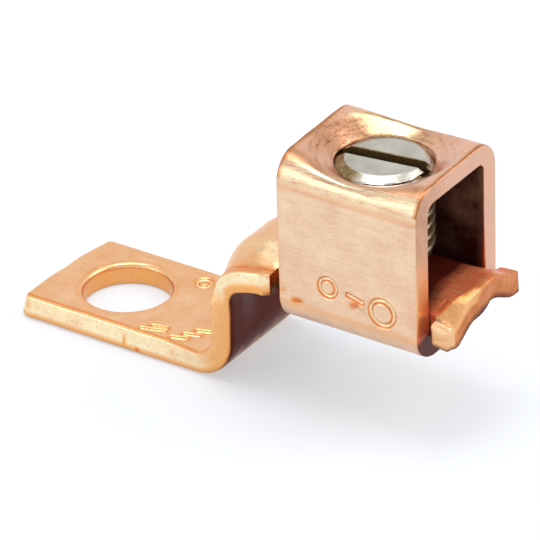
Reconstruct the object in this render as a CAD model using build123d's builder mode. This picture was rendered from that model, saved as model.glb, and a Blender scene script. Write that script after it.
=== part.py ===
from build123d import *
import math
import os

# Offset mechanical lug: a copper strip with a bolt hole, stepped up and crowned, a folded copper
# collar that hangs round its far end, and a slotted set screw that presses the wire on the strip.
# Millimetres. Origin at the bolt hole's centre on the palm's underside, +X towards the collar.

# Copper strip
strip_width = 11.7
strip_thickness = 1.95
strip_edge_round = 0.6       # upper edges, as far as the shoulder
bolt_hole_diameter = 7.5
bolt_hole_rim_round = 0.45
palm_reach = 7.2             # bolt hole's centre to the middle of the palm's end
palm_end_bulge = 0.6         # how far the end's middle stands out past its corners
palm_corner_radius = 1.0
riser_distance = 12.45       # bolt hole's centre to the near face of the riser
offset_rise = 9.35           # palm's underside to the underside of the raised part
lower_bend_radius = 1.95     # inside radii of the two bends
upper_bend_radius = 1.75
shoulder_distance = 18.1     # bolt hole's centre to the shoulder that stops the collar
notch_corner_radius = 0.3
wing_length = 1.7
wing_width = 10.0
wing_stake_depth = 0.3       # how far staking pressed the wings below the strip's top
wing_corner_radius = 0.35

# Bead pressed along the riser, the upper bend and the raised part
bead_height = 1.38
bead_top_half_width = 1.6
bead_margin = 0.95           # flat left beside the bead at each edge of the strip
bead_run_in = 14.0           # length along the strip over which the bead grows to its height
bead_points = 4              # points on each flank of the bead's profile
bead_stations = 5            # sections across the run-in

# Folded collar
collar_height = 15.45
collar_length = 13.1
collar_thickness = 1.7
collar_bend_radius = 2.55    # outside radius of the four bends
collar_edge_break = 0.15
seam_gap = 0.3               # butt seam under the strip, where the folded ends meet
screw_off_middle = 0.1       # screw's axis from the collar's middle, towards its near end
dish_radius = 6.2            # dished mouth round the screw hole
dish_depth = 1.42
dish_sag = 0.15              # how far the dish hollows below a straight cone
neck_wall = 0.9
neck_length = 1.7            # threaded neck below the top plate

# Set screw, 5/16-24, its thread drawn at the major diameter
screw_diameter = 7.94
screw_length = 8.6
screw_top_chamfer_width = 0.8
screw_top_chamfer_height = 0.55
screw_tip_chamfer = 0.6
slot_width = 1.2
slot_depth = 1.9
slot_turn = 8.2              # degrees about the screw's axis

# Fits
waist_clearance = 0.2        # strip's waist to each side wall of the collar
seat_clearance = 0.01        # strip's lower corners to the collar's inside bends
shoulder_clearance = 1.15    # collar's near end to the strip's shoulder
wing_clearance = 0.75        # collar's far end to the wings
side_clearance = 0.23        # screw to each side wall of the collar
tip_clearance = 0.5          # screw's tip to the crown of the strip, as it stands
thread_clearance = 0.05      # radial, screw to threaded hole
cut_margin = 1.0             # how far cutting shapes run past what they cut
match_tolerance = 0.01       # places nearer than this count as the same


# Places and sizes that follow from the ones above
saddle_bottom = offset_rise
saddle_top = saddle_bottom + strip_thickness
inside_half_width = screw_diameter / 2 + side_clearance
collar_width = 2 * (inside_half_width + collar_thickness)
waist_width = 2 * (inside_half_width - waist_clearance)
collar_start = shoulder_distance + shoulder_clearance
notch_end = collar_start + collar_length + wing_clearance
strip_end = notch_end + wing_length
screw_x = collar_start + collar_length / 2 - screw_off_middle
hole_radius = screw_diameter / 2 + thread_clearance
bead_base_half_width = strip_width / 2 - bead_margin
bead_flank = bead_base_half_width - bead_top_half_width
bead_slope = math.atan(1.5 * bead_height / bead_flank)
bead_underside_shift = strip_thickness * math.tan(bead_slope / 2)


def bead_rise(y, base_half_width):
    """Height of the bead at y: none past its base, full over its top, a smooth S between."""
    share = min(max((base_half_width - abs(y)) / bead_flank, 0), 1)
    return bead_height * share * share * (3 - 2 * share)


def seat_height():
    """Collar's underside to the strip's lower corner, which rests in the inside bend."""
    inside_radius = collar_bend_radius - collar_thickness
    corner_y = waist_width / 2
    sideways = max(corner_y - (collar_width / 2 - collar_bend_radius), 0)
    return collar_bend_radius - math.sqrt(inside_radius**2 - sideways**2) + seat_clearance


waist_corner_rise = bead_rise(waist_width / 2, bead_base_half_width - bead_underside_shift)
collar_bottom = saddle_bottom + waist_corner_rise - seat_height()
collar_top = collar_bottom + collar_height
screw_bottom = saddle_top + bead_height + tip_clearance
screw_top = screw_bottom + screw_length
screw_axis = Axis((screw_x, 0, 0), (0, 0, 1))


def strip_section(plane, bead_share):
    """Section across the strip on a plane whose local y is outward, with a share of the bead."""
    half = strip_width / 2 + cut_margin

    def bead_line(level, base_half_width):
        """Edge of the section at a level: flat margins and the bead's curve between them."""
        steps = [base_half_width - bead_flank * i / bead_points for i in range(bead_points + 1)]
        stations = [-y for y in steps] + [0] + steps[::-1]
        curve = [(y, level + bead_share * bead_rise(y, base_half_width)) for y in stations]
        Line((-half, level), curve[0])
        Spline(*curve, tangents=[(1, 0), (1, 0)])
        Line(curve[-1], (half, level))

    with BuildSketch(plane) as section:
        with BuildLine():
            bead_line(-strip_thickness / 2, bead_base_half_width - bead_underside_shift)
            bead_line(strip_thickness / 2, bead_base_half_width)
            Line((-half, -strip_thickness / 2), (-half, strip_thickness / 2))
            Line((half, -strip_thickness / 2), (half, strip_thickness / 2))
        make_face()
    return section.sketch


def across(run, share):
    """Plane across a run of the strip's middle line, its local y outward."""
    return Plane(origin=run @ share, x_dir=(0, 1, 0), z_dir=run % share)


# The strip's middle line: along the palm, up the riser and along the raised part
palm_middle = strip_thickness / 2
riser_middle = riser_distance + strip_thickness / 2
saddle_middle = saddle_bottom + strip_thickness / 2
lower_middle_radius = lower_bend_radius + strip_thickness / 2
upper_middle_radius = upper_bend_radius + strip_thickness / 2
lower_bend_start = riser_middle - lower_middle_radius
riser_start = palm_middle + lower_middle_radius
riser_end = saddle_middle - upper_middle_radius
saddle_start = riser_middle + upper_middle_radius
run_in_bent = riser_end - riser_start + upper_middle_radius * math.pi / 2
bead_grown = saddle_start + bead_run_in - run_in_bent
blank_start = -palm_reach - cut_margin
blank_end = strip_end + cut_margin


# Tongue: the bent and beaded strip, trimmed to the outline of its blank
with BuildPart() as tongue:
    with BuildLine(Plane.XZ) as palm_run:
        Line((blank_start, palm_middle), (lower_bend_start, palm_middle))
        JernArc((lower_bend_start, palm_middle), (1, 0), lower_middle_radius, 90)
    sweep(sections=strip_section(across(palm_run.wire(), 0), 0), path=palm_run.wire())

    # From the riser on, the bead grows to its height over the run-in and then runs level
    with BuildLine(Plane.XZ) as run_in:
        Line((riser_middle, riser_start), (riser_middle, riser_end))
        JernArc((riser_middle, riser_end), (0, 1), upper_middle_radius, -90)
        Line((saddle_start, saddle_middle), (bead_grown, saddle_middle))
    sections = []
    for station in range(bead_stations + 1):
        grown = station / bead_stations
        plane = across(run_in.wire(), grown)
        sections.append(strip_section(plane, math.sin(grown * math.pi / 2)))
    sweep(sections=sections, path=run_in.wire(), multisection=True)
    extrude(sections[-1], amount=blank_end - bead_grown)

    # Blank's outline in plan: bulged palm end, notches for the collar, wings beyond it
    with BuildSketch() as blank:
        with BuildLine():
            ThreePointArc(
                (palm_end_bulge - palm_reach, -strip_width / 2),
                (-palm_reach, 0),
                (palm_end_bulge - palm_reach, strip_width / 2),
            )
            for side in (-1, 1):
                Polyline(
                    (palm_end_bulge - palm_reach, side * strip_width / 2),
                    (shoulder_distance, side * strip_width / 2),
                    (shoulder_distance, side * waist_width / 2),
                    (notch_end, side * waist_width / 2),
                    (notch_end, side * wing_width / 2),
                    (strip_end, side * wing_width / 2),
                )
            Line((strip_end, -wing_width / 2), (strip_end, wing_width / 2))
        make_face()
        columns = blank.vertices().group_by(Axis.X)
        waist_corners = [
            corner
            for corner in blank.vertices()
            if abs(abs(corner.Y) - waist_width / 2) < match_tolerance
        ]
        fillet(columns[0], palm_corner_radius)
        fillet(waist_corners, notch_corner_radius)
        fillet(blank.vertices().group_by(Axis.X)[-1], wing_corner_radius)
    extrude(amount=saddle_top + bead_height + cut_margin, mode=Mode.INTERSECT)

    # Upper edges of the palm, the bends and the raised part as far as the shoulder
    upward_and_back = Vector(-1, 0, 1)
    upper_faces = [
        face for face in tongue.faces() if face.normal_at().dot(upward_and_back) > match_tolerance
    ]
    corners_end = palm_end_bulge - palm_reach + palm_corner_radius
    upper_edges = []
    for edge in ShapeList(upper_faces).edges():
        middle = edge @ 0.5
        on_side = abs(abs(middle.Y) - strip_width / 2) < match_tolerance
        on_palm_end = middle.X < corners_end and middle.Z > palm_middle
        if (on_side and middle.X < shoulder_distance) or on_palm_end:
            upper_edges.append(edge)
    fillet(upper_edges, strip_edge_round)

    # Bolt hole with a rounded upper rim
    with BuildSketch(Plane.XZ) as bolt_hole:
        with BuildLine():
            radius = bolt_hole_diameter / 2
            rim_start = (radius, strip_thickness - bolt_hole_rim_round)
            rim_end = (radius + bolt_hole_rim_round, strip_thickness)
            Polyline((0, strip_thickness), (0, 0), (radius, 0), rim_start)
            RadiusArc(rim_start, rim_end, bolt_hole_rim_round)
            Line(rim_end, (0, strip_thickness))
        make_face()
    revolve(axis=Axis.Z, mode=Mode.SUBTRACT)

    # Staked wings: the punch pressed them below the strip's top
    with BuildSketch(Plane.XY.offset(saddle_top - wing_stake_depth)):
        for side in (-1, 1):
            with Locations((strip_end, side * waist_width / 2)):
                outward = Align.MIN if side > 0 else Align.MAX
                Rectangle(wing_length, strip_width / 2, align=(Align.MAX, outward))
    extrude(amount=bead_height + cut_margin, mode=Mode.SUBTRACT)

tongue.part.label = "tongue"


# Collar: a strip folded into a box, its ends meeting at the seam underneath
with BuildPart() as collar:
    with BuildSketch(Plane.YZ.offset(collar_start)):
        with Locations((0, collar_bottom + collar_height / 2)):
            RectangleRounded(collar_width, collar_height, collar_bend_radius)
            RectangleRounded(
                collar_width - 2 * collar_thickness,
                collar_height - 2 * collar_thickness,
                collar_bend_radius - collar_thickness,
                mode=Mode.SUBTRACT,
            )
        with Locations((0, collar_bottom)):
            Rectangle(seam_gap, collar_thickness, align=(Align.CENTER, Align.MIN), mode=Mode.SUBTRACT)
    extrude(amount=collar_length)
    ends = collar.faces().filter_by(Axis.X)
    chamfer(ends.edges(), collar_edge_break)

    # Neck drawn down round the screw hole, then the dished mouth and the hole
    neck_bottom = collar_top - collar_thickness - neck_length
    with BuildSketch(Plane.XY.offset(neck_bottom)):
        with Locations((screw_x, 0)):
            Circle(hole_radius + neck_wall)
    extrude(amount=neck_length)
    with BuildSketch(Plane.XZ):
        with BuildLine():
            hole_edge = screw_x + hole_radius
            dish_start = (hole_edge, collar_top - dish_depth)
            dish_end = (screw_x + dish_radius, collar_top)
            Polyline((screw_x, collar_top), (screw_x, neck_bottom), (hole_edge, neck_bottom), dish_start)
            SagittaArc(dish_start, dish_end, dish_sag)
            Line(dish_end, (screw_x, collar_top))
        make_face()
    revolve(axis=screw_axis, mode=Mode.SUBTRACT)

collar.part.label = "collar"


# Set screw: turned blank with a chamfered head end, a flat chamfered tip and a driver slot
with BuildPart() as set_screw:
    screw_radius = screw_diameter / 2
    with BuildSketch(Plane.XZ):
        with BuildLine():
            Polyline(
                (screw_x, screw_bottom),
                (screw_x + screw_radius - screw_tip_chamfer, screw_bottom),
                (screw_x + screw_radius, screw_bottom + screw_tip_chamfer),
                (screw_x + screw_radius, screw_top - screw_top_chamfer_height),
                (screw_x + screw_radius - screw_top_chamfer_width, screw_top),
                (screw_x, screw_top),
                close=True,
            )
        make_face()
    revolve(axis=screw_axis)
    with BuildSketch(Plane.XY.offset(screw_top)):
        with Locations((screw_x, 0)):
            Rectangle(screw_diameter + cut_margin, slot_width, rotation=slot_turn)
    extrude(amount=-slot_depth, mode=Mode.SUBTRACT)

set_screw.part.label = "set_screw"


os.makedirs("parts", exist_ok=True)
for piece in (tongue, collar, set_screw):
    export_step(piece.part, f"parts/{piece.part.label}.step")
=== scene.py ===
import math

import bpy
import numpy as np
from mathutils import Matrix, Vector
from mathutils.geometry import delaunay_2d_cdt


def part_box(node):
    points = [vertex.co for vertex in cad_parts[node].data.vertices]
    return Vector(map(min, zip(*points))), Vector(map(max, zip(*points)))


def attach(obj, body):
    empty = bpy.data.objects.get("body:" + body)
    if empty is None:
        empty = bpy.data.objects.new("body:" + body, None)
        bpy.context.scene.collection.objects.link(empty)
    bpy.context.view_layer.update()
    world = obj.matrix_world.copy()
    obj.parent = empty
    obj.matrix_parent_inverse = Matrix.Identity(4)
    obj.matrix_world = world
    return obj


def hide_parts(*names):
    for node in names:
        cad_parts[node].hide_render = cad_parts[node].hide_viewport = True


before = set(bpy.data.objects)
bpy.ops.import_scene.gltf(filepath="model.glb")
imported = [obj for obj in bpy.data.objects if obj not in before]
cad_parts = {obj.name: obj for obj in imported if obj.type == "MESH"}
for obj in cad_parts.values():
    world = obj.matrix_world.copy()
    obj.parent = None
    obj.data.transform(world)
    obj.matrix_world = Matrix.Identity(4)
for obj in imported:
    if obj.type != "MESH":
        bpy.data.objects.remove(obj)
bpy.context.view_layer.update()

MM = 0.001
scene = bpy.context.scene
scene.view_settings.view_transform = "Standard"


# Camera
# Long lens well back from the lug, a little above it and to the right of its front, leaning by
# under two degrees. Fitted to the straight edges of the part.
azimuth, elevation, roll = math.radians(34.484), math.radians(30.355), math.radians(-1.7057)
aim = Vector((14.4085, 0.0, 7.9568)) * MM
distance = 418.496 * MM
pixels_per_mm_at_aim = 12.3022
frame_pixels = 540
sensor_mm = 36.0

back = Vector((
    math.sin(azimuth) * math.cos(elevation),
    -math.cos(azimuth) * math.cos(elevation),
    math.sin(elevation),
))
level_right = Vector((math.cos(azimuth), math.sin(azimuth), 0.0))
level_up = back.cross(level_right)
right = level_right * math.cos(roll) + level_up * math.sin(roll)
up = level_up * math.cos(roll) - level_right * math.sin(roll)

camera_data = bpy.data.cameras.new("camera")
camera_data.sensor_fit = "HORIZONTAL"
camera_data.sensor_width = sensor_mm
camera_data.lens = pixels_per_mm_at_aim * (distance / MM) * sensor_mm / frame_pixels
camera_data.clip_start, camera_data.clip_end = 0.01, 10.0
camera = bpy.data.objects.new("camera", camera_data)
scene.collection.objects.link(camera)
stand = Matrix((right, up, back)).transposed().to_4x4()
stand.translation = aim + back * distance
camera.matrix_world = stand
scene.camera = camera


# Room
# White paper in a pale tent that is brightest from the horizon to half its height. A wide soft box
# hangs overhead, a weak one stands in front on the left, and a strong one behind on the right.
def node_of(tree, kind, inputs=None, **settings):
    """Adds a shader node, sets its properties, and fills or links its inputs."""
    node = tree.nodes.new(kind)
    for name, value in settings.items():
        setattr(node, name, value)
    for name, value in (inputs or {}).items():
        if isinstance(value, bpy.types.NodeSocket):
            tree.links.new(value, node.inputs[name])
        else:
            node.inputs[name].default_value = value
    return node


def soft_box(name, towards, width, depth, away, radiance):
    """Rectangular lamp at a distance from the lug, facing it, its width level in the picture. Its
    power is its radiance times pi times its area."""
    data = bpy.data.lights.new(name, "AREA")
    data.shape = "RECTANGLE"
    data.size, data.size_y = width, depth
    data.energy = radiance * math.pi * width * depth
    lamp = bpy.data.objects.new(name, data)
    scene.collection.objects.link(lamp)
    facing = Vector(towards).normalized()
    across = facing.cross(level_right).normalized()
    lamp.matrix_world = Matrix((across.cross(facing), across, facing)).transposed().to_4x4()
    lamp.matrix_world.translation = aim + facing * away


soft_box("overhead_box", (-0.09, 0.03, 0.99), 0.28, 0.20, away=0.40, radiance=4.6)
soft_box("left_box", (-0.49, -0.75, 0.33), 0.30, 0.20, away=0.45, radiance=1.15)
soft_box("rear_box", (0.62, 0.42, 0.66), 0.26, 0.26, away=0.50, radiance=3.2)

tent_by_height = ((0.0, 0.94), (0.30, 0.98), (0.55, 0.98), (0.82, 0.78), (1.0, 0.45))
tent_blue = 1.01
world = bpy.data.worlds.new("tent")
world.use_nodes = True
tree = world.node_tree
tree.nodes.clear()
direction = node_of(tree, "ShaderNodeTexCoord")
height = node_of(tree, "ShaderNodeSeparateXYZ", {"Vector": direction.outputs["Generated"]})
shade = node_of(tree, "ShaderNodeValToRGB", {"Fac": height.outputs["Z"]})
for _ in range(len(tent_by_height) - 2):
    shade.color_ramp.elements.new(0.5)
for element, (stop, bright) in zip(shade.color_ramp.elements, tent_by_height):
    element.position = stop
    element.color = (bright, bright, bright * tent_blue, 1)
tent = node_of(tree, "ShaderNodeBackground", {"Color": shade.outputs["Color"], "Strength": 1.0})
node_of(tree, "ShaderNodeOutputWorld", {"Surface": tent.outputs["Background"]})
scene.world = world

# The paper is lit from below as well, like a photographer's light table
floor_half = 0.6
floor_drop = 0.02 * MM
floor_mesh = bpy.data.meshes.new("floor")
floor_signs = ((-1, -1), (1, -1), (1, 1), (-1, 1))
floor_mesh.from_pydata(
    [(x * floor_half, y * floor_half, -floor_drop) for x, y in floor_signs], [], [(0, 1, 2, 3)])
floor = bpy.data.objects.new("floor", floor_mesh)
scene.collection.objects.link(floor)
paper = bpy.data.materials.new("lit_paper")
paper.use_nodes = True
for socket, value in (("Base Color", (0.44, 0.455, 0.475, 1)), ("Roughness", 0.9),
                      ("Emission Color", (0.97, 1, 1.04, 1)), ("Emission Strength", 0.41)):
    paper.node_tree.nodes["Principled BSDF"].inputs[socket].default_value = value
floor_mesh.materials.append(paper)


# Tongue
# One copper strip with rolled edges: a flat palm with a punched bolt hole, two bends that step it
# up, a bead pressed along it for stiffness, a waist notched for the collar, and a far end whose
# corners are staked out so that the collar can't slide off. Sizes are in millimetres.
strip_width, strip_thickness = 11.7, 1.95
half_strip = strip_thickness / 2
palm_end, palm_corner = -7.1, 1.0
lower_radius, upper_radius = 2.925, 2.725        # of the strip's middle line
palm_run, riser_run, saddle_start_x = 10.5, 3.7, 16.15
lower_bend_end = palm_run + lower_radius * math.pi / 2
riser_end = lower_bend_end + riser_run
upper_bend_end = riser_end + upper_radius * math.pi / 2
shoulder_x, notch_end_x, strip_end_x = 18.1, 33.1, 34.8
waist_half, wing_half = 4.0, 5.0
bolt_radius, bolt_rim, bolt_rim_under = 3.75, 0.45, 0.18
bead_height, bead_top, bead_base, bead_shift, bead_run_in = 1.38, 1.6, 4.9, 0.546, 11.0
strip_low_end = 9.35                             # height of the raised part's underside


def smooth_step(low, high, value):
    """0 below low, 1 above high, and a smooth S between: 3ss - 2sss of the share s."""
    share = np.clip((value - low) / (high - low), 0, 1)
    return share * share * (3 - 2 * share)


def bell(value, middle, width):
    """1 at the middle, falling off on both sides as e to minus the square of distance / width."""
    return np.exp(-((value - middle) / width) ** 2)


def rounded_loop(corners, radii, step):
    """Closed line through corners, each turned through an arc of its radius. Straight runs and
    arcs are divided evenly, no longer than step, and arcs at every 12 degrees or less."""
    corners = np.array(corners, float)
    before, after = np.roll(corners, 1, 0), np.roll(corners, -1, 0)
    into = (corners - before) / np.linalg.norm(corners - before, axis=1)[:, None]
    out = (after - corners) / np.linalg.norm(after - corners, axis=1)[:, None]
    turn = np.arctan2(into[:, 0] * out[:, 1] - into[:, 1] * out[:, 0], (into * out).sum(1))
    reach = np.array(radii) * np.tan(np.abs(turn) / 2)
    runs = []
    for i, corner in enumerate(corners):
        start = corner - into[i] * reach[i]
        if radii[i] > 0:
            count = max(3, int(np.ceil(abs(turn[i]) / math.radians(12))))
            side = np.sign(turn[i]) * np.array([-into[i][1], into[i][0]])
            angle = np.linspace(0, abs(turn[i]), count, endpoint=False)[:, None]
            runs.append(start + radii[i] * (side * (1 - np.cos(angle)) + into[i] * np.sin(angle)))
        finish = corner + out[i] * reach[i]
        following = after[i] - out[i] * reach[(i + 1) % len(corners)]
        gap = np.linalg.norm(following - finish)
        share = np.linspace(0, 1, max(1, int(np.ceil(gap / step))), endpoint=False)[:, None]
        runs.append(finish + (following - finish) * share)
    return np.concatenate(runs)


def round_loop(centre, radius, count):
    """Circle of points, clockwise, so that the sheet lies to its left."""
    angle = -np.arange(count) * 2 * math.pi / count
    return np.stack([centre[0] + radius * np.cos(angle), centre[1] + radius * np.sin(angle)], 1)


def inside(points, loop):
    """Which points lie in a closed line: a ray to the right crosses it an odd number of times."""
    x, y = points[:, :1], points[:, 1:]
    ax, ay = loop.T
    bx, by = np.roll(loop, -1, 0).T
    spans = (ay > y) != (by > y)
    with np.errstate(divide="ignore", invalid="ignore"):
        crosses = spans & (x < (bx - ax) * (y - ay) / (by - ay) + ax)
    return crosses.sum(1) % 2 == 1


def staggered(low, high, pitch):
    """Points of a triangular lattice in a box."""
    rows = np.arange(low[1], high[1], pitch * math.sqrt(3) / 2)
    columns = np.arange(low[0], high[0], pitch)
    x, y = np.meshgrid(columns, rows)
    x[1::2] += pitch / 2
    return np.stack([x.ravel(), y.ravel()], 1)


def lattice(low, high, pitch, patches):
    """Coarse lattice in a box, with a finer one in each patch (low, high, pitch)."""
    points = staggered(low, high, pitch)
    for patch_low, patch_high, patch_pitch in patches:
        covered = ((points > patch_low) & (points < patch_high)).all(1)
        points = np.concatenate([points[~covered], staggered(patch_low, patch_high, patch_pitch)])
    return points


def inset(loop, depth):
    """Loop moved by depth to its left, square to the line through each point's neighbours."""
    along = np.roll(loop, -1, 0) - np.roll(loop, 1, 0)
    along /= np.linalg.norm(along, axis=1)[:, None]
    return loop + np.stack([-along[:, 1], along[:, 0]], 1) * np.asarray(depth)[..., None]


def ring_quads(numbers):
    """Point numbers in rows of closed rings give each quad's corners: a point, the next one round
    its ring, the same one in the next row, and that row's next one."""
    beside = np.roll(numbers, -1, 1)
    return numbers[:-1], beside[:-1], numbers[1:], beside[1:]


def sheet_skin(loops, rounds, half, points, clear, wall_rows=3, leans=(0, 0)):
    """Closed skin of a sheet cut to loops, its outline first and anticlockwise, then its holes
    clockwise. Each loop's edge turns through a quarter round from the top face to its wall and
    from the wall to the bottom face, and leans in by its lean on the way up. Both faces are
    filled with the points that stand clear of the loops. Gives the places in the sheet's plane,
    the levels from -half to half, and the triangles, which face outwards."""
    places, levels, triangles, tops, bottoms = [], [], [], [], []
    count = 0
    angles = np.radians([90, 70, 50, 30, 12, 0])
    for loop, (top_round, bottom_round), lean in zip(loops, rounds, leans):
        top_round = np.broadcast_to(top_round, len(loop)).astype(float)
        bottom_round = np.broadcast_to(bottom_round, len(loop)).astype(float)
        rows, heights = [], []
        for angle in angles:
            rows.append(inset(loop, top_round * (1 - math.cos(angle))))
            heights.append(half - top_round * (1 - math.sin(angle)))
        wall_top, wall_bottom = heights[-1], -half + bottom_round
        for share in np.linspace(0, 1, wall_rows + 2)[1:-1]:
            rows.append(loop.copy())
            heights.append(wall_top + (wall_bottom - wall_top) * share)
        for angle in angles[::-1]:
            rows.append(inset(loop, bottom_round * (1 - math.cos(angle))))
            heights.append(-half + bottom_round * (1 - math.sin(angle)))
        heights = np.array(heights)
        climb = (heights + half - bottom_round) / (2 * half - bottom_round)
        climb = np.maximum(climb, 0)
        rows = np.array([inset(row, lean * climbed) for row, climbed in zip(rows, climb)])
        numbers = count + np.arange(heights.size).reshape(heights.shape)
        a, b, c, d = ring_quads(numbers)
        triangles.append(np.stack([a, c, d], -1).reshape(-1, 3))
        triangles.append(np.stack([a, d, b], -1).reshape(-1, 3))
        places.append(rows.reshape(-1, 2))
        levels.append(heights.ravel())
        tops.append((rows[0], numbers[0]))
        bottoms.append((rows[-1], numbers[-1]))
        count += numbers.size
    kept = inside(points, inset(loops[0], clear))
    for loop in loops[1:]:
        kept &= ~inside(points, inset(loop, clear))
    points = points[kept]
    for faces, level, faces_down in ((tops, half, False), (bottoms, -half, True)):
        flat = np.concatenate([line for line, _ in faces] + [points])
        numbers = np.concatenate([n for _, n in faces] + [count + np.arange(len(points))])
        edges, start = [], 0
        for line, _ in faces:
            i = start + np.arange(len(line))
            edges += np.stack([i, np.roll(i, -1)], 1).tolist()
            start += len(line)
        _, _, cells, origin, _, _ = delaunay_2d_cdt([Vector(p) for p in flat], edges, [], 0, 1e-6)
        cells = np.array([o[0] for o in origin])[np.array(cells)]
        middle = flat[cells].mean(1)
        held = inside(middle, faces[0][0])
        for line, _ in faces[1:]:
            held &= ~inside(middle, line)
        cells = cells[held]
        p, q, r = flat[cells].transpose(1, 0, 2)
        area = (q - p)[:, 0] * (r - p)[:, 1] - (q - p)[:, 1] * (r - p)[:, 0]
        wrong = (area < 0) != faces_down
        cells[wrong] = cells[wrong][:, ::-1]
        triangles.append(numbers[cells])
        places.append(points)
        levels.append(np.full(len(points), level))
        count += len(points)
    return np.concatenate(places), np.concatenate(levels), np.concatenate(triangles)


def metal_piece(name, points, triangles, crease, attributes=None):
    """Mesh object from points in millimetres, smooth but for edges that turn more than crease."""
    mesh = bpy.data.meshes.new(name)
    mesh.vertices.add(len(points))
    mesh.vertices.foreach_set("co", (points * MM).astype(np.float32).ravel())
    mesh.loops.add(triangles.size)
    mesh.loops.foreach_set("vertex_index", triangles.astype(np.int32).ravel())
    mesh.polygons.add(len(triangles))
    mesh.polygons.foreach_set("loop_start", np.arange(0, triangles.size, 3, dtype=np.int32))
    for label, values in (attributes or {}).items():
        attribute = mesh.attributes.new(label, "FLOAT", "POINT")
        attribute.data.foreach_set("value", values.astype(np.float32))
    mesh.update(calc_edges=True)
    mesh.validate()
    mesh.shade_smooth()
    mesh.set_sharp_from_angle(angle=math.radians(crease))
    piece = bpy.data.objects.new(name, mesh)
    scene.collection.objects.link(piece)
    return piece


def run_of(x):
    """Length along the strip from the bolt hole to a place x on the raised part."""
    return upper_bend_end + x - saddle_start_x


def strip_place(run, across, level):
    """Place in space of a point of the strip: the middle line runs level, turns up through the
    lower bend, rises, and turns level again, and the bead lifts it by a smooth S on each side."""
    lower = np.clip((run - palm_run) / lower_radius, 0, math.pi / 2)
    upper = np.clip((run - riser_end) / upper_radius, 0, math.pi / 2)
    x = (np.minimum(run, palm_run) + lower_radius * np.sin(lower)
         + upper_radius * (1 - np.cos(upper)) + np.maximum(run - upper_bend_end, 0))
    z = (half_strip + lower_radius * (1 - np.cos(lower))
         + np.clip(run - lower_bend_end, 0, riser_run) + upper_radius * np.sin(upper))
    slope = lower - upper
    grown = np.sin(np.clip((run - lower_bend_end) / bead_run_in, 0, 1) * math.pi / 2)
    flank = bead_base - bead_top
    share = (level + half_strip) / strip_thickness
    base = bead_base - bead_shift * (1 - share)
    rise = bead_height * grown * smooth_step(0, 1, (base - np.abs(across)) / flank)
    lift = level + rise
    return np.stack([x - np.sin(slope) * lift, across, z + np.cos(slope) * lift], 1)


def leaning(run):
    """Share of the palm's lean that the edges keep: 1 on the palm and from the upper bend on, and
    0 through the lower bend and up the riser, with a smooth S between."""
    return 1 - smooth_step(palm_run - 3.2, palm_run + 0.8, run) * (
        1 - smooth_step(riser_end - 0.8, riser_end + 0.8, run))


# The blank's outline: each corner's place along and across the strip, and its radius. The palm's
# end is trimmed at a slant, and the front shoulder has a small bevel.
shoulder, notch_end, strip_end = run_of(shoulder_x), run_of(notch_end_x), run_of(strip_end_x)
blank = np.array([
    (palm_end + 1.15, strip_width / 2, 0.6),
    (palm_end + 0.3, 1.2, 3.0),
    (palm_end, -2.0, 3.0),
    (palm_end, -strip_width / 2, palm_corner),
    (shoulder - 0.6, -strip_width / 2, 0.3),
    (shoulder, -strip_width / 2 + 0.45, 0.3),
    (shoulder, -waist_half, 0.45),
    (notch_end, -waist_half, 0.45),
    (notch_end, -wing_half, 0.2),
    (strip_end, -wing_half, 0.2),
    (strip_end, wing_half, 0.2),
    (notch_end, wing_half, 0.2),
    (notch_end, waist_half, 0.45),
    (shoulder, waist_half, 0.45),
    (shoulder, strip_width / 2, 0.35),
])
blank_loop = rounded_loop(blank[:, :2], blank[:, 2], 0.22)
bolt_loop = round_loop((0, 0), bolt_radius, 132)

# Rolled edges: rounded above and more below, and leaning in on the way up. The rear one is
# sharper and more upright, and the edges cut after rolling are nearly square.
rolled_top, rolled_foot, cut_round, rolled_lean = 0.20, 0.40, 0.12, 0.42
less_rear_foot, less_rear_lean = 0.15, 0.27
beyond_shoulder = smooth_step(shoulder - 1.2, shoulder - 0.2, blank_loop[:, 0])
at_rear = smooth_step(0, 3, blank_loop[:, 1])
edge_top = rolled_top + (cut_round - rolled_top) * beyond_shoulder
edge_foot = ((rolled_foot - less_rear_foot * at_rear) * (1 - beyond_shoulder)
             + cut_round * beyond_shoulder)
edge_lean = (rolled_lean - less_rear_lean * at_rear) * (1 - beyond_shoulder)
edge_lean = edge_lean * leaning(blank_loop[:, 0])

# The mesh is finer where the strip bends, under the stamped bars and ring, and at the staked end.
# A patch is given by its low and high corners and its pitch.
fine_patches = [
    ((12.0, -5.8), (run_of(18.2), 5.8), 0.2),
    ((3.6, -5.6), (11.0, -1.2), 0.10),
    ((4.2, 2.9), (6.2, 4.9), 0.10),
    ((run_of(31.5), -5.2), (run_of(35.0), 5.2), 0.12),
]
strip_points = lattice((-7.4, -5.9), (strip_end, 5.9), 0.3, fine_patches)
flat, level, triangles = sheet_skin(
    [blank_loop, bolt_loop], [(edge_top, edge_foot), (bolt_rim, bolt_rim_under)],
    half_strip, strip_points, clear=0.7, leans=(edge_lean, 0))
run, across = flat.T


def groove(off, width, depth):
    """Section of a stamped line: a bell-shaped valley, deepest where off is 0, with a low lip of
    pushed-up metal on each side of it."""
    off = np.abs(off) / (width / 2)
    return depth * (np.exp(-1.6 * off ** 2) - 0.22 * np.exp(-3.5 * (off - 1.75) ** 2))


def ring_mark(a, b, centre, radius, width, depth):
    """Groove round a circle: off is the distance from the centre less the radius."""
    return groove(np.hypot(a - centre[0], b - centre[1]) - radius, width, depth)


def bar_mark(a, b, start, end, width, depth):
    """Groove along a line: off is the distance from the nearest point between its two ends."""
    line = np.subtract(end, start)
    share = np.clip(((a - start[0]) * line[0] + (b - start[1]) * line[1]) / (line @ line), 0, 1)
    return groove(np.hypot(a - start[0] - share * line[0], b - start[1] - share * line[1]),
                  width, depth)


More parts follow.
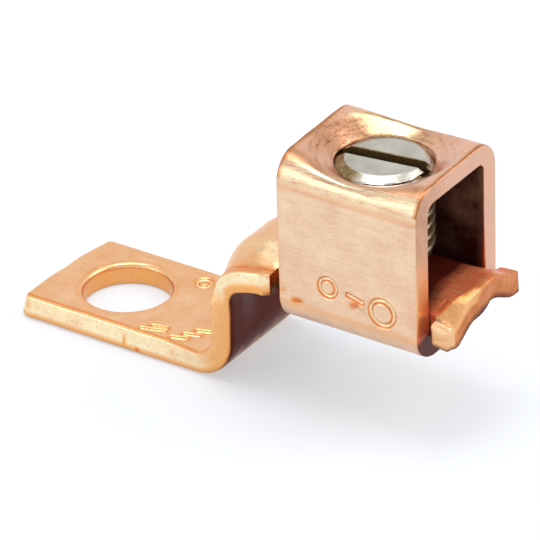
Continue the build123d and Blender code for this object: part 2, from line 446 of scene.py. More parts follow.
def dent(a, b, centre, half_size, depth):
    """Knock with a rounded floor: a bell over an ellipse of these half sizes."""
    off = ((a - centre[0]) / half_size[0]) ** 2 + ((b - centre[1]) / half_size[1]) ** 2
    return depth * np.exp(-1.3 * off)


def rolled_waves(a, b, height):
    """Slight unevenness that rolling leaves: three low sine waves that cross each other."""
    return height * (np.sin(0.9 * a + 1.4 * b) + np.sin(1.7 * a - 0.8 * b + 2.0)
                     + np.sin(0.5 * a + 2.3 * b + 4.0)) / 3


# A ring and short bars are stamped in the palm, and handling has nicked its front edge. A ring is
# given by its centre, radius, width and depth, a bar by its ends, width and depth, and a nick by
# its centre, half sizes and depth.
palm_ring = ((5.1, 3.85), 0.60, 0.40, 0.16)
palm_bars = [((7.7 + 0.62 * i, -4.75 + 0.95 * i), (8.9 + 0.62 * i, -4.35 + 0.95 * i), 0.42, 0.17)
             for i in range(3)]
palm_bars += [((4.7, -4.85), (6.7, -4.25), 0.44, 0.15), ((5.3, -4.05), (6.6, -3.68), 0.40, 0.13)]
edge_nicks = [((3.6, -0.1), (0.14, 0.75), 0.10), ((4.9, -0.55), (0.30, 0.22), 0.12),
              ((-6.3, 0.3), (0.25, 0.40), 0.10), ((8.4, 0.2), (0.22, 0.22), 0.06)]
palm_wave, edge_wave = 0.018, 0.03
pressed = ring_mark(run, across, *palm_ring)
for bar in palm_bars:
    pressed += bar_mark(run, across, *bar)
top_side = smooth_step(-0.3, 0.9, level / half_strip)
level = level - (pressed + rolled_waves(run, across, palm_wave)) * top_side
height_share = level / half_strip               # from -1 underneath to 1 on top
nicks = sum(dent(run, level, *nick) for nick in edge_nicks)
front_edge = smooth_step(5.35, 5.75, -across) * (run < shoulder - 1)
across = across + front_edge * (nicks + rolled_waves(run, 0.3 * level, edge_wave))

# Bending squeezed the inner side of the lower bend out sideways into a lip on both edges
lip_reach = 0.14
on_riser = smooth_step(palm_run - 0.2, palm_run + 3.0, run) * (
    1 - smooth_step(riser_end - 0.6, riser_end + 1.2, run))
lip = on_riser * smooth_step(0.25, 0.55, level) * smooth_step(5.0, 5.8, np.abs(across))
across = across + lip_reach * lip * np.sign(across)
tongue_points = strip_place(run, across, level)
x, y, z = tongue_points.T

# The upper bend is tighter beside the bead, and climbs on a little as far as the shoulders
bend_drop = 0.38
z = z - bend_drop * bell(run, upper_bend_end - 0.8, 1.5) * smooth_step(3.6, 5.0, np.abs(across))

# A punch pressed the front wing down to a bevelled ledge below the strip's top. Beside it, a
# chisel cut a slanting facet and left a nick and a shallow hollow, and the metal between swelled
# out underneath.
ledge_drop, ledge_slope = 0.3, 0.6
facet_start, facet_corner, facet_slant, facet_slope = 33.25, -3.7, 0.413, 0.36
chisel_nick = ((32.95, -3.4), (33.15, -2.7), 0.26, 0.05)
chisel_hollow = ((33.2, -4.05), (0.6, 0.16), 0.16)
swelling = 0.50
on_wing = smooth_step(notch_end_x - 0.35, notch_end_x + 0.05, x) * smooth_step(3.90, 4.10, -y)
wing_top = strip_low_end + strip_thickness - ledge_drop + ledge_slope * (y + wing_half)
z = z - on_wing * np.maximum(z - wing_top, 0)
top_share = smooth_step(0.2, 0.9, height_share)
facet_edge = facet_start + facet_slant * (y - facet_corner)
beyond_facet_edge = np.maximum(x - facet_edge, 0)
struck = beyond_facet_edge * top_share * smooth_step(-4.3, -3.9, y)
cut_flat = smooth_step(0.05, 0.15, struck)
z = z - facet_slope * struck
z = z - bar_mark(x, y, *chisel_nick) * top_share
z = z - dent(x, y, *chisel_hollow) * top_share
swollen = smooth_step(32.6, 33.5, x) * smooth_step(-4.8, -3.4, y) * (1 - smooth_step(-1.5, 1.2, y))
z = z - swelling * swollen * (1 - smooth_step(-0.95, 0.6, height_share))

# The same blows left the far end twisted a little about the strip's length, and skewed
end_twist, end_skew, twist_axis = math.radians(4.5), 0.28, 10.3
towards_end = smooth_step(31.2, strip_end_x, x)
twist = end_twist * towards_end
y, z = (y * np.cos(twist) - (z - twist_axis) * np.sin(twist),
        twist_axis + y * np.sin(twist) + (z - twist_axis) * np.cos(twist))
x = x + end_skew * towards_end * np.clip(y / wing_half, -1, 1)
tongue_points = np.stack([x, y, z], 1)

# Places on the skin, each a share from 0 to 1: the underside, the rise, what the collar shades,
# the rolled edge's face, foot and upper line, the bead's side and foot, and the stamped marks
underneath = 1 - smooth_step(-1.0, -0.72, height_share)
raised = smooth_step(palm_run + 1.5, palm_run + 5.0, run)
in_collar = smooth_step(18.6, 19.6, x) * (1 - smooth_step(32.0, 33.8, x))
beyond_mouth = smooth_step(33.4, 34.7, x)
from_side = strip_width / 2 - np.abs(across)
on_edge = (from_side < 0.75) * (run < shoulder + 0.1)
low_line = -0.45 + 0.45 * smooth_step(riser_end, riser_end + 2.0, run)
face = on_edge * smooth_step(low_line - 0.1, low_line + 0.15, height_share)
face = face * (level < half_strip - 0.12) * (1 - on_riser * (1 - 0.5 * lip))
foot = on_edge * (1 - smooth_step(low_line - 0.2, low_line + 0.1, height_share))
upper_line = bell(from_side, 0.24 + rolled_lean * leaning(run), 0.13) * (level > 0)
bead_side = bell(np.abs(across), 2.9, 0.8) * top_side * smooth_step(20.5, 23.5, run)
bead_foot = bell(np.abs(across), 4.75, 0.30) * raised * top_side
from_bolt = np.hypot(run, across)
depth_share = np.clip(pressed / 0.12, 0, 1) * top_side
corner_stain = dent(run, across, (palm_end + 0.75, -5.05), (0.28, 0.34), 1) * top_side

# Where the skin is dark with painted shade and some oxide, flushed by heat and by painted light,
# painted pale as a highlight, smooth, or coarse from bending
# Painted shade: the underside, most where it is raised, with some oxide, and the waist inside the
# collar, in its shadow. The far end is a little darker.
oxide_and_shade = np.maximum.reduce([
    underneath * (0.25 + 0.75 * raised),
    0.85 * in_collar * (1 - smooth_step(30.8, 33.1, x)),
    0.20 * beyond_mouth * (1 - on_wing) * (1 - cut_flat),
])
# Painted shade on the rolled edge's foot and on the stamped marks' flanks and lips, and on the
# waist and the far end a painted red glow of light bounced between copper faces over their heat
# tone. The others are lines, the bolt hole's wall, nicks and a stain.
flush_and_painted_light = np.maximum.reduce([
    0.95 * upper_line,
    0.55 * foot,
    0.44 * on_edge * on_riser,
    0.60 * on_edge * on_riser * bell(level, 0.30, 0.10),         # a line up the riser's edge
    0.95 * bead_foot,
    smooth_step(18.4, 19.2, x) * (1 - 0.22 * beyond_mouth),      # the waist and the far end
    0.55 * (from_bolt < bolt_radius + 0.02),                     # the bolt hole's wall
    0.40 * bell(from_bolt, bolt_radius + 0.4, 0.12) * top_side,  # a line round its rim
    np.minimum(6.0 * depth_share * (1 - depth_share), 1),        # the stamped marks' flanks
    np.clip((-pressed - 0.02) / 0.02, 0, 1) * top_side,          # and their lips
    0.95 * np.clip(nicks / 0.08, 0, 1) * front_edge,
    0.9 * corner_stain,
])
flush_and_painted_light = flush_and_painted_light * (1 - 0.65 * cut_flat) * (1 - (0.70 + 0.2 * top_share) * on_wing)
# Painted highlights: the rolled edge's face, the bead's side, the stamped marks' floors, and the
# wing, most on its top
painted_sheen = np.maximum.reduce([0.90 * face, 0.70 * bead_side * (x < 18.4), 0.8 * depth_share])
painted_sheen = np.maximum(painted_sheen * (1 - smooth_step(18.2, 18.8, x)), (0.42 + 0.4 * top_share) * on_wing)
polish = np.clip(0.75 * face + 0.5 * bead_side, 0, 1)
polish = polish - 0.7 * smooth_step(19.0, 20.0, x) - 0.8 * depth_share
strain = np.maximum(bead_foot, 0.5 * smooth_step(29.5, 31.5, x))
tongue = metal_piece("tongue_strip", tongue_points, triangles, 38, {
    "oxide_and_shade": oxide_and_shade, "flush_and_painted_light": flush_and_painted_light, "painted_sheen": painted_sheen, "polish": polish, "strain": strain,
    "swirl": np.zeros(len(run))})


def darker(tone, share):
    """A darker, redder shade of a tone."""
    return (tone[0] * share, tone[1] * share ** 1.3, tone[2] * share ** 1.5, 1)


def copper(name, light, deep, shade_and_oxide_tone, roughness, grain_share, lines_turn=0.0, swirl_about=0.0):
    """Bare copper. The tone is a cloud between light and deep, darker along fine wavering lines
    left by rolling, in speckles and in pits. One attribute carries it to a pale tone painted for
    highlights and bright reflections, and another to one of heat flush, painted glow and painted
    shade, orange where it is weak and red where it is strong. Swirl adds brown streaks round an
    upright axis, a noise over the distance from it and the angle about it, and a third attribute
    carries it all to a dark tone of oxide and painted shade, in patches. The roughness is that of
    the finish, more in the lines and where it is dark, less by the attribute polish, and the dark
    tone and a strong flush are less metallic. The relief is lines, grain and pits, coarser by the
    attribute strain."""
    sheen_tone, streaked = (0.92, 0.78, 0.50, 1), (0.34, 0.13, 0.07, 1)
    orange_flush_and_painted_light, red_flush_and_painted_light = (0.84, 0.36, 0.07, 1), (0.70, 0.155, 0.06, 1)
    material = bpy.data.materials.new(name)
    material.use_nodes = True
    tree = material.node_tree
    shader = tree.nodes["Principled BSDF"]

    def noise(vector, scale, detail, rough):
        return node_of(tree, "ShaderNodeTexNoise", {
            "Vector": vector, "Scale": scale, "Detail": detail, "Roughness": rough}).outputs["Fac"]

    def spread(value, low, high, to_low=0.0, to_high=1.0):
        return node_of(tree, "ShaderNodeMapRange", {
            "Value": value, "From Min": low, "From Max": high,
            "To Min": to_low, "To Max": to_high}).outputs["Result"]

    def maths(operation, first, second):
        inputs = {0: first, 1: second}
        return node_of(tree, "ShaderNodeMath", inputs, operation=operation).outputs[0]

    def times(first, second):
        return maths("MULTIPLY", first, second)

    def plus(first, second):
        return maths("ADD", first, second)

    def mixed(share, first, second):
        return node_of(tree, "ShaderNodeMixRGB", {
            "Fac": share, "Color1": first, "Color2": second}).outputs["Color"]

    def painted(label):
        return node_of(tree, "ShaderNodeAttribute", attribute_name=label).outputs["Fac"]

    def laid(vector, **settings):
        return node_of(tree, "ShaderNodeMapping", {"Vector": vector, **settings}).outputs["Vector"]

    # Patterns: rolling lines drawn out along the strip and swaying a little, clouds, and grain
    where = node_of(tree, "ShaderNodeTexCoord").outputs["Object"]
    sway = node_of(tree, "ShaderNodeTexNoise", {
        "Vector": where, "Scale": 330.0, "Detail": 2.0}).outputs["Color"]
    swayed = node_of(tree, "ShaderNodeVectorMath", {
        0: sway, 1: (0.0007, 0.0007, 0.0007), 2: where}, operation="MULTIPLY_ADD").outputs["Vector"]
    drawn = laid(swayed, Rotation=(0, lines_turn, 0), Scale=(260, 4200, 4200))
    fine_drawn = laid(swayed, Rotation=(0, lines_turn, 0), Scale=(520, 11000, 11000))
    broad_lines = noise(drawn, 1.0, 3.0, 0.6)
    lines = plus(times(broad_lines, 0.6), times(noise(fine_drawn, 1.0, 2.0, 0.6), 0.4))
    cloud = noise(where, 420.0, 5.0, 0.62)
    speckle = noise(where, 3600.0, 3.0, 0.65)
    pits = spread(noise(where, 1500.0, 4.0, 0.7), 0.62, 0.74)
    oxide_and_shade, flush_and_painted_light, painted_sheen = painted("oxide_and_shade"), painted("flush_and_painted_light"), painted("painted_sheen")
    swirl, polish, strain = painted("swirl"), painted("polish"), painted("strain")
    unevenly = spread(cloud, 0.25, 0.60, 0.55, 1.1)

    # Tone: clean copper, painted pale as highlights, flushed by heat and painted light, then its
    # lines, grain and pits, streaks, and oxide with painted shade
    tone = mixed(spread(cloud, 0.32, 0.68), deep, light)
    tone = mixed(times(painted_sheen, unevenly), tone, sheen_tone)
    flush_and_light_share = maths("MINIMUM", times(times(flush_and_painted_light, 1.25), unevenly), 1.0)
    tone = mixed(flush_and_light_share, tone, mixed(spread(flush_and_painted_light, 0.54, 0.92), orange_flush_and_painted_light, red_flush_and_painted_light))
    lines_show = plus(0.62 * (1 - grain_share), times(strain, 2.0))
    tone = mixed(times(spread(lines, 0.50, 0.32), lines_show), tone, darker(deep, 0.84))
    tone = mixed(times(spread(speckle, 0.52, 0.72), 0.6 * grain_share), tone, darker(deep, 0.74))
    tone = mixed(times(pits, plus(0.18, strain)), tone, darker(deep, 0.55))
    near = node_of(tree, "ShaderNodeSeparateXYZ", {
        "Vector": laid(where, Location=(-swirl_about * MM, 0, 0))}).outputs
    away = maths("SQRT", plus(times(near["X"], near["X"]), times(near["Y"], near["Y"])), 0.0)
    about = maths("ARCTAN2", near["Y"], near["X"])
    polar = node_of(tree, "ShaderNodeCombineXYZ", {
        "X": times(away, 3600.0), "Y": times(about, 3.2)}).outputs["Vector"]
    streaks = spread(noise(polar, 1.0, 4.0, 0.65), 0.50, 0.64)
    tone = mixed(times(times(streaks, swirl), 0.9), tone, streaked)
    patchy = spread(plus(oxide_and_shade, times(maths("SUBTRACT", cloud, 0.5), 0.9)), 0.0, 0.75)
    tone = mixed(times(patchy, maths("MINIMUM", times(oxide_and_shade, 4.0), 1.0)), tone, shade_and_oxide_tone)
    tree.links.new(tone, shader.inputs["Base Color"])

    # Gloss, and how metallic it looks
    gloss = plus(spread(lines, 0.3, 0.7, roughness - 0.06, roughness + 0.08), times(oxide_and_shade, 0.12))
    gloss = maths("SUBTRACT", gloss, times(polish, 0.14))
    tree.links.new(gloss, shader.inputs["Roughness"])
    metallic = times(spread(oxide_and_shade, 0.3, 1.0, 1.0, 0.6), spread(flush_and_painted_light, 0.7, 1.0, 1.0, 0.45))
    tree.links.new(metallic, shader.inputs["Metallic"])
    shader.inputs["Specular IOR Level"].default_value = 0.2

    # Relief, nearly flat where it is polished
    relief = plus(times(lines, 1.0 - grain_share), times(speckle, grain_share))
    relief = maths("SUBTRACT", relief, times(pits, plus(0.25, strain)))
    relief = plus(relief, times(times(broad_lines, strain), 4.0))
    relief = times(relief, spread(polish, 0.0, 1.0, 1.0, 0.18))
    bumped = node_of(tree, "ShaderNodeBump", {
        "Height": relief, "Strength": 0.42, "Distance": 0.03 * MM})
    tree.links.new(bumped.outputs["Normal"], shader.inputs["Normal"])
    return material


tongue.data.materials.append(copper(
    "pressed_copper", light=(0.89, 0.55, 0.31, 1), deep=(0.83, 0.43, 0.20, 1),
    shade_and_oxide_tone=(0.090, 0.008, 0.003, 1), roughness=0.31, grain_share=0.65))
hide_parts("tongue")
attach(tongue, "lug")


# Collar
# A copper strip folded into a box round the strip's waist, its ends meeting in a butt seam
# underneath. The top plate is dished and drawn down round the hole, which is tapped.
collar_start, collar_length, collar_width = 19.25, 13.1, 11.8
collar_height, collar_thickness, collar_bend = 15.45, 1.7, 2.55
collar_end = collar_start + collar_length
half_collar = collar_thickness / 2
collar_low, collar_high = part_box("collar")[0].z / MM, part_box("collar")[1].z / MM
screw_x = collar_start + 6.45
hole_radius, dish_radius, dish_depth = 4.02, 6.2, 1.42
neck_drop = 1.7
seam_half = 0.15
flat_half = collar_width / 2 - collar_bend
plan_half = hole_radius + 0.5      # this far from the middle, the sheet is laid out in plan
bend_run = 2.2                     # length of sheet given to the rest of each bend
plan_bend = math.radians(62)       # the most of a bend that is laid out in plan
side_run = collar_height - 2 * collar_bend
lower_bend_run = collar_bend * math.pi / 2
collar_run = plan_half + bend_run + side_run + lower_bend_run + flat_half - seam_half


def box_skin(girth, bend):
    """Section of the folded box at a bend radius: across and down from the top's middle. Near
    the middle the girth is the distance across, and past it the length round the box."""
    far = np.abs(girth)
    reach = min(plan_half, flat_half + bend * math.sin(plan_bend))
    over = np.maximum(np.minimum(far, plan_half) * (reach / plan_half), 0)
    begun = math.asin(min(1.0, (reach - flat_half) / bend))
    first = np.where(
        far <= plan_half,
        np.arcsin(np.clip((over - flat_half) / bend, 0, 1)),
        begun + np.clip((far - plan_half) / bend_run, 0, 1) * (math.pi / 2 - begun))
    down = np.clip(far - plan_half - bend_run, 0, side_run)
    past_side = far - plan_half - bend_run - side_run
    second = np.clip(past_side / collar_bend, 0, math.pi / 2)
    inward = np.maximum(past_side - lower_bend_run, 0)
    y = (np.minimum(over, flat_half) + bend * np.sin(first)
         - bend * (1 - np.cos(second)) - inward)
    z = -bend * (1 - np.cos(first)) - down - bend * np.sin(second)
    return np.sign(girth) * y, z


collar_loop = rounded_loop(
    [(collar_start, -collar_run), (collar_end, -collar_run),
     (collar_end, collar_run), (collar_start, collar_run)], [0.3] * 4, 0.2)
hole_loop = round_loop((screw_x, 0), hole_radius, 160)
# The mesh is finer on the stamped front and on the dished top
front_patch = ((collar_start + 0.6, -(plan_half + bend_run + side_run)),
               (collar_end - 0.6, -(plan_half + bend_run + 6.0)), 0.085)
top_patch = ((collar_start + 0.6, -6.0), (collar_end - 0.6, 6.0), 0.2)
box_points = lattice((collar_start, -collar_run), (collar_end, collar_run), 0.34,
                     [front_patch, top_patch])
end_rounds, hole_rounds = (0.13, 0.12), (0.1, 0.1)
flat, level, triangles = sheet_skin(
    [collar_loop, hole_loop], [end_rounds, hole_rounds], half_collar, box_points,
    clear=0.36, wall_rows=25)
along, girth = flat.T
y_out, z_out = box_skin(girth, collar_bend)
y_in, z_in = box_skin(girth, collar_bend - collar_thickness)
z_out, z_in = z_out + collar_high, z_in + collar_high - collar_thickness

# The punch dished the top. The outside is the lower of the plate and a shallow cone round the
# screw, blended over a small height, more so at the front, and the inside sinks into a funnel.
near_x = along - screw_x
cone = collar_high - dish_depth + (dish_depth / (dish_radius - hole_radius)) * (
    np.hypot(near_x, y_out) - hole_radius)
blend = 0.20 + 0.45 * smooth_step(0.5, 4.0, -y_out)
gap = (cone - z_out) / blend
z_out = np.where(gap > 12, z_out, z_out - blend * np.log1p(np.exp(-np.clip(gap, -60, 60))))
funnel = neck_drop * (
    1 - smooth_step(hole_radius - 0.1, hole_radius + 1.9, np.hypot(near_x, y_in)))
fallen = collar_high - collar_thickness - z_in
z_in = z_in - funnel * (1 - smooth_step(0.4, 6.0, fallen))

# A small ring, a short bar and a larger ring are stamped in the front, with a few knocks near
# them, given as on the palm
small_ring = ((23.9, 12.15), 0.78, 0.42, 0.20)
short_bar = ((25.8, 12.05), (27.1, 11.7), 0.50, 0.20)
large_ring = ((29.0, 11.35), 1.10, 0.46, 0.22)
front_knocks = [((21.3, 9.75), (0.66, 0.42), 0.16), ((19.75, 10.45), (0.25, 0.45), 0.14),
                ((26.7, 11.0), (0.50, 0.42), 0.14), ((31.3, 11.6), (0.18, 0.30), 0.05)]
deep_down = np.abs(girth) - plan_half - bend_run      # how far down a side plate
on_front = (girth < 0) * smooth_step(0.2, 1.0, deep_down)
on_front = on_front * smooth_step(-1.6, -0.6, side_run - deep_down)
stamped = (ring_mark(along, z_out, *small_ring) + bar_mark(along, z_out, *short_bar)
           + ring_mark(along, z_out, *large_ring))
knocks = sum(dent(along, z_out, *knock) for knock in front_knocks)
y_out = y_out + on_front * (stamped + knocks)

# Rolling left the outside slightly uneven
side_wave, top_wave = 0.022, 0.02
y_out = y_out + rolled_waves(along, z_out, side_wave) * smooth_step(0.5, 2.5, deep_down)
z_out = z_out + rolled_waves(along, 1.3 * y_out, top_wave) * (
    1 - smooth_step(4.0, 5.5, np.abs(y_out)))
share = (level + half_collar) / collar_thickness
collar_points = np.stack([
    along, y_in + (y_out - y_in) * share, z_in + (z_out - z_in) * share], 1)

# Places on the skin: inside or outside, on the top and its dish, at the bends, at the sharp line
# and the flat of the two ends, and in the marks. Each is a share from 0 to 1.
inner = 1 - smooth_step(0.1, 0.55, share)
from_end = np.minimum(along - collar_start, collar_end - along)
from_screw = np.hypot(along - screw_x, y_out)
height_up = np.clip((z_out - collar_low) / collar_height, 0, 1)
outer = (share > 0.8) * smooth_step(0.05, 0.16, from_end)
on_top = (np.abs(girth) < plan_half + 1.0) * smooth_step(0.6, 0.95, share)
dished = on_top * (1 - smooth_step(dish_radius - 0.7, dish_radius + 0.3, from_screw))
rear_left = smooth_step(-0.2, 1.0, (-(along - screw_x) + 0.9 * y_out) / 6.0)
# The dish behind the screw, where a highlight is painted
rear = bell(along, screw_x - 1.9, 2.7) * smooth_step(1.5, 3.5, y_out) * on_top
# The bends, painted pale as a highlight, smoother, and coarser from wrinkling
bending = smooth_step(4.7, 5.2, np.abs(girth)) * (1 - smooth_step(6.3, 7.2, np.abs(girth)))
upper_bend = smooth_step(3.2, 4.0, -girth) * (1 - smooth_step(4.8, 5.2, -girth)) * outer
in_shade = np.maximum(dished * rear_left, upper_bend)
end_line = bell(from_end, 0.10, 0.06) * (share > 0.9) * (np.abs(girth) < 6.2)
mouth = 1 - smooth_step(0.05, 0.16, from_end)
to_front = 1 - smooth_step(-4.5, 0.5, y_out)
low_end = (1 - smooth_step(0.10, 0.17, height_up)) * (1 - smooth_step(0.3, 0.9, from_end))
in_mark = np.clip(stamped / 0.16, 0, 1) * on_front * outer
# Painted shade on each knock's upper left side: a copy of it moved that way, less the knock itself
knock_shade = sum(
    dent(along + shift, z_out - 0.14, centre, half_size, 1)
    for (centre, half_size, _), shift in zip(front_knocks, (0.16, 0.08, 0.14)))
knock_shade = np.clip(4.5 * (knock_shade - knocks / 0.16), 0, 1) * on_front * outer

# Painted shade in the dark tone: inside the box away from its ends, on the dish's rear left and the
# upper front bend, a little on the end faces, and most at the ends' bottoms. A dark line runs along
# each end's top edge.
oxide_and_shade = np.maximum.reduce([
    0.66 * inner * smooth_step(0.1, 0.7, from_end),
    0.22 * in_shade,
    0.45 * end_line,
    mouth * (0.11 + 0.11 * to_front * smooth_step(0.45, 0.7, height_up)),
    low_end * (1 - outer * smooth_step(0.02, 0.08, height_up)),
])
# Painted shade on the stamped marks' flanks, each knock's upper left side, the dish's rear left and
# the upper front bend. The end faces toward the front carry a painted orange glow reflected from
# the strip, redder towards the bottom. The lines by the bends and along the ends' top edges are
# flushed.
flush_and_painted_light = np.maximum.reduce([
    np.minimum(4.2 * in_mark * (1 - in_mark), 0.95),             # the stamped marks' flanks
    0.85 * knock_shade,
    0.30 * in_shade,
    0.9 * end_line,
    0.5 * bell(np.abs(girth), 6.75, 0.14) * outer,               # a line below each upper bend
    0.35 * bell(deep_down, side_run + 0.3, 0.35) * outer,        # and above each lower one
    mouth * to_front * (0.16 + 0.80 * (1 - smooth_step(0.10, 0.66, height_up))),
])
# Painted sheen: the side walls pale, more towards the top, the bends and the dish behind the screw
# as highlights, the marks' floors, and a band across the end faces toward the front as a reflection
side_pale = (0.30 + 0.30 * height_up) * smooth_step(0.0, 0.6, deep_down)
painted_sheen = np.maximum.reduce([
    outer * np.maximum.reduce([side_pale, 0.65 * bending, rear]),
    0.8 * in_mark,
    0.6 * mouth * to_front * bell(height_up, 0.36, 0.09),
])
collar = metal_piece("collar_box", collar_points, triangles, 38, {
    "oxide_and_shade": oxide_and_shade, "flush_and_painted_light": flush_and_painted_light, "painted_sheen": painted_sheen,
    "polish": np.clip(dished * (1 - 0.6 * rear_left * (1 - rear)) + 0.3 * bending * outer, 0, 1),
    "strain": np.clip(0.5 * dished * rear_left, 0, 1) + 0.4 * bending * outer,
    "swirl": dished * (0.35 + 0.65 * rear_left) * (1 - rear)})
collar.data.materials.append(copper(
    "rolled_copper", light=(0.81, 0.49, 0.35, 1), deep=(0.74, 0.41, 0.28, 1),
    shade_and_oxide_tone=(0.10, 0.022, 0.014, 1), roughness=0.31, grain_share=0.35,
    lines_turn=math.radians(3), swirl_about=screw_x))
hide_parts("collar")
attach(collar, "lug")


# Set screw
# Headless slotted steel screw, 5/16-24: a turned blank with a rolled thread, a chamfered top
# with a milled slot, and a flat tip.
screw_radius, screw_pitch, thread_depth = 3.97, 25.4 / 24, 0.62
crest_end, root_start = 0.16, 0.92     # shares of the way from the thread's crest to its root
top_chamfer_width, top_chamfer_height, tip_chamfer = 0.8, 0.55, 0.6
screw_bottom, screw_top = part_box("set_screw")[0].z / MM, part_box("set_screw")[1].z / MM
turns, side_rows, cap_rings = 176, 150, 6
angle = np.arange(turns) * 2 * math.pi / turns
rise = np.linspace(screw_bottom, screw_top, side_rows)[:, None]
phase = (rise / screw_pitch - angle[None, :] / (2 * math.pi)) % 1.0
flank = np.abs(phase - 0.5) * 2
threaded = screw_radius - thread_depth * smooth_step(crest_end, root_start, flank)
top_cone = screw_radius - top_chamfer_width + (screw_top - rise) * (
    top_chamfer_width / top_chamfer_height)
tip_cone = screw_radius - tip_chamfer + (rise - screw_bottom)
radius = np.minimum(np.minimum(threaded, top_cone), tip_cone)
side = np.stack([
    screw_x + radius * np.cos(angle), radius * np.sin(angle), np.broadcast_to(rise, radius.shape)],
    -1)


def cap(edge, height):
    """Rings that shrink from an edge to near its middle, at one height."""
    shares = np.linspace(1, 0.02, cap_rings)[1:, None, None]
    middle = np.array([screw_x, 0, 0])
    return middle + (edge * [1, 1, 0] - middle) * shares + [0, 0, height]


rows = np.concatenate([cap(side[0], screw_bottom)[::-1], side, cap(side[-1], screw_top)])
numbers = np.arange(rows.shape[0] * turns).reshape(rows.shape[:2])
a, b, c, d = ring_quads(numbers)
screw_points = np.concatenate([
    rows.reshape(-1, 3), [[screw_x, 0, screw_bottom], [screw_x, 0, screw_top]]])
low_pole, high_pole = len(screw_points) - 2, len(screw_points) - 1
first, last = numbers[0], numbers[-1]
triangles = np.concatenate([
    np.stack([a, b, d], -1).reshape(-1, 3),
    np.stack([a, d, c], -1).reshape(-1, 3),
    np.stack([np.full(turns, low_pole), np.roll(first, -1), first], 1),
    np.stack([np.full(turns, high_pole), last, np.roll(last, -1)], 1)])
screw = metal_piece("slotted_set_screw", screw_points, triangles, 40)

# A thin wheel milled the slot right across, and its mouth has a small bevel. The cutter is that
# section, drawn out past the screw on both sides and above it.
slot_width, slot_depth, slot_bevel, slot_turn = 1.2, 1.9, 0.1, math.radians(8.2)
half = slot_width / 2
above = 0.6
right_side = [(half, -slot_depth), (half, -slot_bevel), (half + slot_bevel, 0.0),
              (half + slot_bevel, above)]
profile = np.array([(-half, -slot_depth)] + right_side + [(-a, b) for a, b in right_side[:0:-1]])
reach = np.array([-screw_radius - 1, screw_radius + 1])
corner_count = len(profile)
tool = np.stack([
    np.repeat(reach, corner_count), np.tile(profile[:, 0], 2), np.tile(profile[:, 1], 2)], 1)
turn = np.array([[math.cos(slot_turn), math.sin(slot_turn), 0],
                 [-math.sin(slot_turn), math.cos(slot_turn), 0], [0, 0, 1]])
tool = tool @ turn + [screw_x, 0, screw_top]
near_end = tuple(range(corner_count))
far_end = tuple(i + corner_count for i in near_end)
sides = [(i, (i + 1) % corner_count, (i + 1) % corner_count + corner_count, i + corner_count)
         for i in near_end]
cutter_mesh = bpy.data.meshes.new("slot_cutter")
cutter_mesh.from_pydata((tool * MM).tolist(), [], sides + [near_end[::-1], far_end])
cutter = bpy.data.objects.new("slot_cutter", cutter_mesh)
scene.collection.objects.link(cutter)
cut = screw.modifiers.new("slot", "BOOLEAN")
cut.operation, cut.solver, cut.object = "DIFFERENCE", "EXACT", cutter
bpy.context.view_layer.update()
done = bpy.data.meshes.new_from_object(screw.evaluated_get(bpy.context.evaluated_depsgraph_get()))
screw.modifiers.clear()
screw.data = done
bpy.data.objects.remove(cutter)
done.shade_smooth()
done.set_sharp_from_angle(angle=math.radians(38))

# The slot's walls are painted darker with depth and towards its ends as shade, the threads below
# the collar's top carry painted shade, and one side of the chamfer a painted shadow. The thread's
# roots are darker.
places = np.empty(len(done.vertices) * 3, np.float32)
done.vertices.foreach_get("co", places)
x, y, z = places.reshape(-1, 3).T / MM
across_slot = np.abs(-(x - screw_x) * math.sin(slot_turn) + y * math.cos(slot_turn))
along_slot = (x - screw_x) * math.cos(slot_turn) + y * math.sin(slot_turn)
below_crest = screw_radius - np.hypot(x - screw_x, y)
around = np.degrees(np.arctan2(y, x - screw_x))
in_slot = (across_slot < half + 0.03) * (z < screw_top - 0.05) * (z > screw_top - slot_depth - 0.05)
in_root = smooth_step(0.15, 0.5, below_crest) * (z < screw_top - 0.6) * (z > screw_bottom + 0.1)
slot_shade = in_slot * (0.20 + 0.40 * smooth_step(0.1, slot_depth, screw_top - z)
                       + 0.40 * smooth_step(0.8, 3.2, np.abs(along_slot)))
hole_shade = (1 - smooth_step(screw_top - 2.6, screw_top - 1.6, z)) * (
    0.16 + 0.5 * smooth_step(0.02, 0.3, below_crest))
on_chamfer = (z > screw_top - top_chamfer_height) * (z < screw_top - 0.04) * (1 - in_slot)
chamfer_shadow = on_chamfer * (
    smooth_step(-178, -160, around) * (1 - smooth_step(-110, -84, around)))
grime_and_shade = done.attributes.new("grime_and_shade", "FLOAT", "POINT")
grime_and_shade.data.foreach_set("value", np.maximum.reduce(
    [slot_shade, 0.45 * in_root, hole_shade, 0.50 * chamfer_shadow]).astype(np.float32))

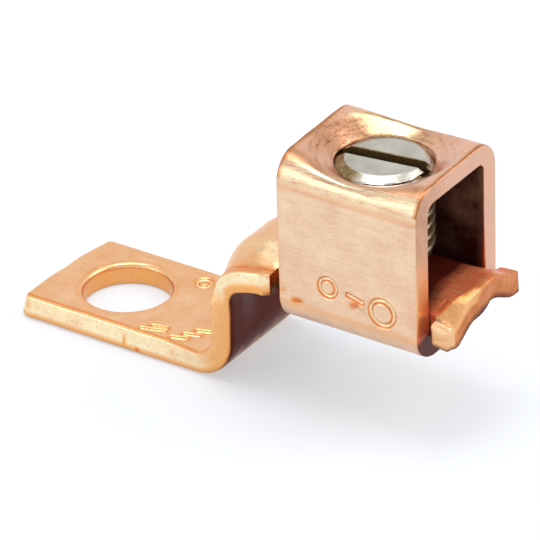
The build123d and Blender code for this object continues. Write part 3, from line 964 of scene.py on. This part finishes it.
# Dull zinc plating, clouded and speckled, under brown to black grime and painted shade
dull_zinc, bright_zinc = (0.36, 0.335, 0.27, 1), (0.67, 0.645, 0.585, 1)
brown_grime_and_shade, black_shade = (0.42, 0.27, 0.10, 1), (0.02, 0.012, 0.008, 1)
steel = bpy.data.materials.new("plated_steel")
steel.use_nodes = True
tree = steel.node_tree
shader = tree.nodes["Principled BSDF"]
where = node_of(tree, "ShaderNodeTexCoord").outputs["Object"]
speckle = node_of(tree, "ShaderNodeTexNoise", {
    "Vector": where, "Scale": 3000.0, "Detail": 4.0, "Roughness": 0.7}).outputs["Fac"]
cloud = node_of(tree, "ShaderNodeTexNoise", {
    "Vector": where, "Scale": 650.0, "Detail": 4.0}).outputs["Fac"]
zinc = node_of(tree, "ShaderNodeMixRGB", {
    "Fac": cloud, "Color1": dull_zinc, "Color2": bright_zinc}).outputs["Color"]
grime_and_shade_share = node_of(tree, "ShaderNodeAttribute", attribute_name="grime_and_shade").outputs["Fac"]
uneven = node_of(tree, "ShaderNodeMapRange", {
    "Value": speckle, "From Min": 0.38, "From Max": 0.62, "To Min": 0.55, "To Max": 1.35})
held = node_of(tree, "ShaderNodeMath", {
    0: grime_and_shade_share, 1: uneven.outputs["Result"]}, operation="MULTIPLY").outputs[0]
grime_and_shade_tone = node_of(tree, "ShaderNodeMixRGB", {
    "Fac": held, "Color1": brown_grime_and_shade, "Color2": black_shade})
covered = node_of(tree, "ShaderNodeMapRange", {"Value": held, "From Max": 0.4})
tone = node_of(tree, "ShaderNodeMixRGB", {
    "Fac": covered.outputs["Result"], "Color1": zinc, "Color2": grime_and_shade_tone.outputs["Color"]})
tree.links.new(tone.outputs["Color"], shader.inputs["Base Color"])
gloss = node_of(tree, "ShaderNodeMapRange", {
    "Value": speckle, "From Min": 0.3, "From Max": 0.7, "To Min": 0.22, "To Max": 0.36})
tree.links.new(gloss.outputs["Result"], shader.inputs["Roughness"])
metallic = node_of(tree, "ShaderNodeMapRange", {
    "Value": held, "From Min": 0.0, "From Max": 1.0, "To Min": 1.0, "To Max": 0.3})
tree.links.new(metallic.outputs["Result"], shader.inputs["Metallic"])
relief = node_of(tree, "ShaderNodeBump", {
    "Height": speckle, "Strength": 0.5, "Distance": 0.02 * MM})
tree.links.new(relief.outputs["Normal"], shader.inputs["Normal"])
done.materials.clear()
done.materials.append(steel)
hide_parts("set_screw")
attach(screw, "screw")
